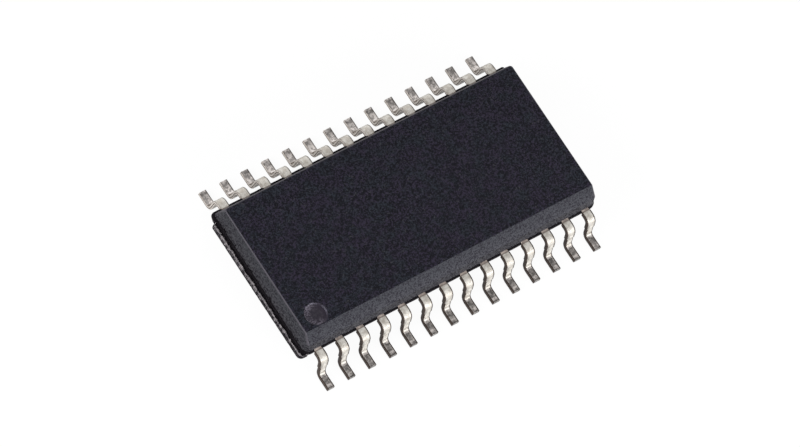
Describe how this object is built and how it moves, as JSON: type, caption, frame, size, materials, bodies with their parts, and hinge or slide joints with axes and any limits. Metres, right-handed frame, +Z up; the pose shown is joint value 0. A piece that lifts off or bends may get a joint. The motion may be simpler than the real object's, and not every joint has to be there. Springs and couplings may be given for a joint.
{
  "type": "small-outline integrated circuit",
  "caption": "Surface-mount chip: a black moulded body with a bevelled edge and a pin-1 dimple, and gull-wing leads along both long sides.",
  "frame": {"origin": "centre of the lead pattern on the seating plane that the solder feet stand on", "axes": "+X along the body from the pin-1 end to the far end, -Y the side of pin 1, +Z up out of the top face"},
  "size_m": [0.0185, 0.012, 0.0026],
  "materials": {
    "mould_compound": "black epoxy mould compound, fine spark-eroded grain, thin flash at the parting line",
    "plated_lead": "tin-lead plated copper alloy, satin, with bare cut ends",
    "copper_paddle": "copper alloy lead frame, satin",
    "silver_adhesive": "silver-filled epoxy",
    "silicon": "polished silicon with metal tracks",
    "gold_wire": "gold bond wire, bright"
  },
  "bodies": {
    "root": {"body": "mould_compound", "die_pad": "copper_paddle", "die_attach": "silver_adhesive", "die": "silicon", "lead_01": "plated_lead", "lead_02": "plated_lead", "lead_03": "plated_lead", "lead_04": "plated_lead", "lead_05": "plated_lead", "lead_06": "plated_lead", "lead_07": "plated_lead", "lead_08": "plated_lead", "lead_09": "plated_lead", "lead_10": "plated_lead", "lead_11": "plated_lead", "lead_12": "plated_lead", "lead_13": "plated_lead", "lead_14": "plated_lead", "lead_15": "plated_lead", "lead_16": "plated_lead", "lead_17": "plated_lead", "lead_18": "plated_lead", "lead_19": "plated_lead", "lead_20": "plated_lead", "lead_21": "plated_lead", "lead_22": "plated_lead", "lead_23": "plated_lead", "lead_24": "plated_lead", "lead_25": "plated_lead", "lead_26": "plated_lead", "lead_27": "plated_lead", "lead_28": "plated_lead", "bond_wire_01": "gold_wire", "bond_wire_02": "gold_wire", "bond_wire_03": "gold_wire", "bond_wire_04": "gold_wire", "bond_wire_05": "gold_wire", "bond_wire_06": "gold_wire", "bond_wire_07": "gold_wire", "bond_wire_08": "gold_wire", "bond_wire_09": "gold_wire", "bond_wire_10": "gold_wire", "bond_wire_11": "gold_wire", "bond_wire_12": "gold_wire", "bond_wire_13": "gold_wire", "bond_wire_14": "gold_wire", "bond_wire_15": "gold_wire", "bond_wire_16": "gold_wire", "bond_wire_17": "gold_wire", "bond_wire_18": "gold_wire", "bond_wire_19": "gold_wire", "bond_wire_20": "gold_wire", "bond_wire_21": "gold_wire", "bond_wire_22": "gold_wire", "bond_wire_23": "gold_wire", "bond_wire_24": "gold_wire", "bond_wire_25": "gold_wire", "bond_wire_26": "gold_wire", "bond_wire_27": "gold_wire", "bond_wire_28": "gold_wire"}
  },
  "joints": []
}
